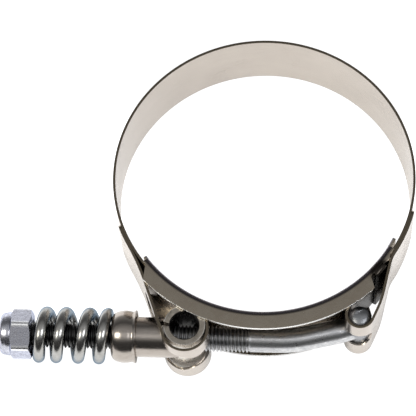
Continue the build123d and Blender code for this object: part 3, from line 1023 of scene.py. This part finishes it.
def feed_at(turn):
    """Distance of the wire's centre from the nut's face after so many turns."""
    for (t0, x0), (t1, x1) in zip(feeds, feeds[1:]):
        if turn <= t1:
            return x0 + (x1 - x0) * (turn - t0) / (t1 - t0)
    return feeds[-1][1]


def smooth_feed(turn):
    """The same, smoothed over a third of a turn."""
    around = [feed_at(min(end_turn, max(0, turn + k / 24))) for k in range(-4, 5)]
    return sum(around) / len(around)


coil = bmesh.new()
made = bmesh.ops.create_circle(coil, segments=24, radius=wire, cap_ends=False)
section = made["verts"]
turn_on = (
    Matrix.Translation((spring_face + smooth_feed(start_turn), bolt_y, 0))
    @ Matrix.Rotation(-2 * pi * start_turn, 4, "X")
    @ Matrix.Translation((0, coil_radius, 0))
)
bmesh.ops.transform(coil, verts=section, matrix=turn_on)
front = section + list(coil.edges)
steps_per_turn = 60
total_steps = int((end_turn - start_turn) * steps_per_turn)
for k in range(total_steps):
    turn = start_turn + k / steps_per_turn
    advance = smooth_feed(turn + 1 / steps_per_turn) - smooth_feed(turn)
    made = bmesh.ops.spin(
        coil,
        geom=front,
        cent=(0, bolt_y, 0),
        axis=(1, 0, 0),
        dvec=(advance, 0, 0),
        angle=-2 * pi / steps_per_turn,
        steps=1,
    )
    front = made["geom_last"]
bmesh.ops.holes_fill(coil, edges=[e for e in coil.edges if e.is_boundary], sides=0)
for v in coil.verts:
    v.co.x = min(spring_stop, max(spring_face, v.co.x))
bmesh.ops.recalc_face_normals(coil, faces=coil.faces)
zinc_wire = finish(
    "zinc_wire", (0.50, 0.50, 0.49), (0.38, 0.37, 0.35), (1400, 1400, 1400), 300, 0.14, 0.28, 0.35,
    rim=(0.32, 0.42, 0.54),
)
spring_coil = place_piece("spring_coil", coil, zinc_wire, "bolt_body", "spring")
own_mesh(spring_coil)

# T-bolt.
# A zinc-plated bolt with a rolled right-hand thread, 28 to the inch, and a slight bend near its
# head. The round cross bar of the head is forged on, and turns in the right loop.

pitch = 0.907
crest, root = 3.15, 2.62
thread_from, thread_to = -62.7, -1.85
shank = 3.0
thread = bmesh.new()
ridge = ((0.0, root), (0.11, root), (0.40, crest), (0.51, crest), (0.80, root), (pitch, root))
verts = [thread.verts.new((thread_from - 2 + x, bolt_y + r, 0)) for x, r in ridge]
edges = [thread.edges.new(pair) for pair in zip(verts, verts[1:])]
thread_turns = int((thread_to - thread_from + 4) / pitch)
around = 36
tip_radius, tip_slope, tip_least = 2.45, 0.8, 0.5
run_out_length = 1.2
cut_merge = 0.01
bmesh.ops.spin(
    thread,
    geom=verts + edges,
    cent=(0, bolt_y, 0),
    axis=(1, 0, 0),
    dvec=(pitch / around, 0, 0),
    angle=2 * pi,
    steps=around,
)
one_turn = list(thread.verts) + list(thread.edges) + list(thread.faces)
for turn in range(1, thread_turns):
    copy = bmesh.ops.duplicate(thread, geom=one_turn)["geom"]
    copied = [g for g in copy if isinstance(g, bmesh.types.BMVert)]
    bmesh.ops.translate(thread, verts=copied, vec=(turn * pitch, 0, 0))
bmesh.ops.remove_doubles(thread, verts=thread.verts, dist=merge_within)
for v in thread.verts:
    radial = Vector((0, v.co.y - bolt_y, v.co.z))
    radius = radial.length
    end_cone = tip_radius + max(0, v.co.x - thread_from) * tip_slope
    run_out = min(1, max(0, (thread_to - 0.05 - v.co.x) / run_out_length))
    radius = min(shank + (radius - shank) * run_out, max(end_cone, tip_least))
    v.co.yz = Vector((bolt_y, 0)) + radial.yz.normalized() * radius
for plane, side in ((thread_from, -1), (thread_to, 1)):
    bmesh.ops.bisect_plane(
        thread,
        geom=list(thread.verts) + list(thread.edges) + list(thread.faces),
        plane_co=(plane, 0, 0),
        plane_no=(side, 0, 0),
        clear_outer=True,
    )
bmesh.ops.remove_doubles(thread, verts=thread.verts, dist=cut_merge)
rim = [e for e in thread.edges if e.is_boundary and e.verts[0].co.x > thread_to - 0.1]
rim_verts = list({v for e in rim for v in e.verts})
for v in rim_verts:
    radial = Vector((0, v.co.y - bolt_y, v.co.z)).normalized()
    v.co = Vector((thread_to, bolt_y, 0)) + radial * shank
bend_at, bend_turn, bend_radius = 4.38, 13.766, 30.0
front = rim + rim_verts


def carry(bm, geom, cent=(0, 0, 0), angle=0.0, shift=(0, 0, 0), steps=1):
    """Extends a tube by turning its open end about Z, or by shifting it."""
    made = bmesh.ops.spin(
        bm, geom=geom, cent=cent, axis=(0, 0, 1), dvec=shift, angle=radians(angle), steps=steps
    )
    return made["geom_last"]


front = carry(thread, front, shift=(bend_at - thread_to, 0, 0))
front = carry(thread, front, (bend_at, bolt_y + bend_radius, 0), bend_turn, steps=12)
bend_end = Vector((bend_at, bolt_y + bend_radius, 0)) + polar(bend_radius, bend_turn - 90)
remaining = (head - bend_end).length
heading = (head - bend_end).normalized()
neck_sizes = (0.99, 0.96, 0.93, 0.90, 0.88, 0.87)
before_neck = remaining - len(neck_sizes)
front = carry(thread, front, shift=heading * before_neck)
for number, size in enumerate(neck_sizes):
    front = carry(thread, front, shift=heading)
    centre = bend_end + heading * (before_neck + 1 + number)
    last = neck_sizes[number - 1] if number else 1.0
    verts = [v for v in front if isinstance(v, bmesh.types.BMVert)]
    for v in verts:
        v.co = centre + (v.co - centre) * (size / last)
bmesh.ops.holes_fill(thread, edges=[e for e in thread.edges if e.is_boundary], sides=0)
bmesh.ops.recalc_face_normals(thread, faces=thread.faces)
bar_radius, bar_half, dome = 2.85, 8.2, 1.3
bar = bmesh.new()
profile = [(0.0, bar_half)]
profile += [
    (bar_radius * sin(radians(a)), bar_half - dome * (1 - cos(radians(a)))) for a in range(9, 91, 9)
]
profile += [(bar_radius, 0.0)]
profile += [(r, -z) for r, z in reversed(profile[:-1])]
verts = [bar.verts.new(head + Vector((r, 0, z))) for r, z in profile]
edges = [bar.edges.new(pair) for pair in zip(verts, verts[1:])]
bmesh.ops.spin(
    bar,
    geom=verts + edges,
    cent=head,
    axis=(0, 0, 1),
    dvec=(0, 0, 0),
    angle=2 * pi,
    steps=64,
    use_merge=True,
)
bmesh.ops.remove_doubles(bar, verts=bar.verts, dist=turned_merge)
bmesh.ops.recalc_face_normals(bar, faces=bar.faces)
bar_mesh = bpy.data.meshes.new("bar")
bar.to_mesh(bar_mesh)
bar.free()
thread.from_mesh(bar_mesh)
bpy.data.meshes.remove(bar_mesh)
zinc_bolt = finish(
    "zinc_bolt", (0.70, 0.70, 0.71), (0.40, 0.41, 0.43), (1500, 2400, 2400), 700, 0.24, 0.42, 1.0
)
# Painted shade on the bolt: in the thread's roots, under the spring, and over the head's cross bar.
thread_root_painted_shade, head_bar_painted_shade, under_spring_painted_shade = (0.26, 0.26, 0.26), (0.30, 0.31, 0.33), (0.10, 0.10, 0.10)
bolt_line = (0, bolt_y, 0)
# Painted shade in the thread's roots.
shade_with_distance(zinc_bolt, thread_root_painted_shade, bolt_line, (0, 1, 1), 2.86, 2.68,
                    high=(thread_to, far_out, far_out))
# Painted shade: the head's cross bar painted darker all over.
shade_with_distance(zinc_bolt, head_bar_painted_shade, head, (1, 1, 0), 3.2, 2.9)
# Painted shade on the thread under the spring, between the nut's face and the cup.
shade_with_distance(
    zinc_bolt, under_spring_painted_shade, bolt_line, (0, 1, 1), 3.6, 3.4,
    low=(spring_face, -far_out, -far_out), high=(cup_face, far_out, far_out),
)
place_piece("bolt_and_bar", thread, zinc_bolt, "bolt_body", "t_bolt")

# Lock nut.
# A zinc-plated hexagon nut, chamfered at both ends of its flats, with a round collar rolled in
# over a nylon ring.

nut_face, hexagon_end, nut_end = -55.52, -60.70, -63.33
apothem, corner_radius = 5.55, 6.33
facing = 65.0
collar, collar_bulge = 5.3, 2.2
nut_bore, ring_seat, face_circle = 3.21, 4.55, 5.3
uncut = 9.0
chamfer_from, chamfer_slope = 5.32, 0.58
outline = [(nut_face, 3.7), (nut_face - 0.45, nut_bore), (nut_end + 2.4, nut_bore)]
outline += [(nut_end + 2.4, ring_seat), (nut_end + 0.52, ring_seat)]
outline += [(nut_end + 0.52, 3.95), (nut_end + 0.25, 3.88), (nut_end, 4.1)]
outline += rounded((nut_end, 4.1), (-62.04, 5.17), (nut_end, 5.17), 6)
outline += arc((-61.3, collar - collar_bulge), collar_bulge, 108, 76, 6)
outline += [(hexagon_end, collar - 0.04), (hexagon_end, 5.36), (hexagon_end + 0.4, uncut)]
outline += [(nut_face - 0.4, uncut), (nut_face, face_circle)]
nut = turned_piece(outline, 144)
for v in nut.verts:
    radial = Vector((v.co.y - bolt_y, v.co.z))
    if radial.length > uncut - 0.5:
        angle = degrees(atan2(radial.y, -radial.x))
        off = (angle - facing + 30) % 60 - 30
        radius = min(apothem / cos(radians(off)), corner_radius)
        near_face = v.co.x > (nut_face + hexagon_end) / 2
        fall = (radius - chamfer_from) * chamfer_slope
        v.co.x = nut_face - fall if near_face else hexagon_end + fall
        v.co.yz = Vector((bolt_y, 0)) + radial.normalized() * radius
bmesh.ops.recalc_face_normals(nut, faces=nut.faces)
zinc_nut = finish(
    "zinc_nut", (0.72, 0.74, 0.84), (0.40, 0.40, 0.45), (2400, 2400, 2400), 900, 0.18, 0.34, 0.6,
    rim=(0.62, 0.66, 0.76)
)
# Painted highlight: the hexagon's corners painted near white.
nut_corner_painted_highlight = (0.96, 0.97, 1.0)
shade_with_distance(zinc_nut, nut_corner_painted_highlight, bolt_line, (0, 1, 1), 5.92, 6.2)
place_piece("nut_body", nut, zinc_nut, "nut_body", "lock_nut")

# Nylon insert.
# A plain ring of natural nylon that grips the thread, seen only inside the nut's open collar.

insert_from, insert_to = nut_end + 0.52, nut_end + 2.38
insert_out, insert_in, insert_round = 4.53, 3.2, 0.23
outline = rounded((insert_from, insert_out - insert_round),
                  (insert_from + insert_round, insert_out), (insert_from, insert_out), 3)
outline += [(insert_to, insert_out), (insert_to, insert_in), (insert_from + 0.4, insert_in)]
outline += [(insert_from + 0.1, 3.3), (insert_from, 3.5)]
ring = turned_piece(outline, 72)
nylon = finish(
    "natural_nylon", (0.84, 0.82, 0.76), (0.74, 0.72, 0.66), (900, 900, 900), 400, 0.4, 0.6, 0.2,
    metallic=0.0,
)
place_piece("insert_ring", ring, nylon, "nut_body", "nylon_insert")
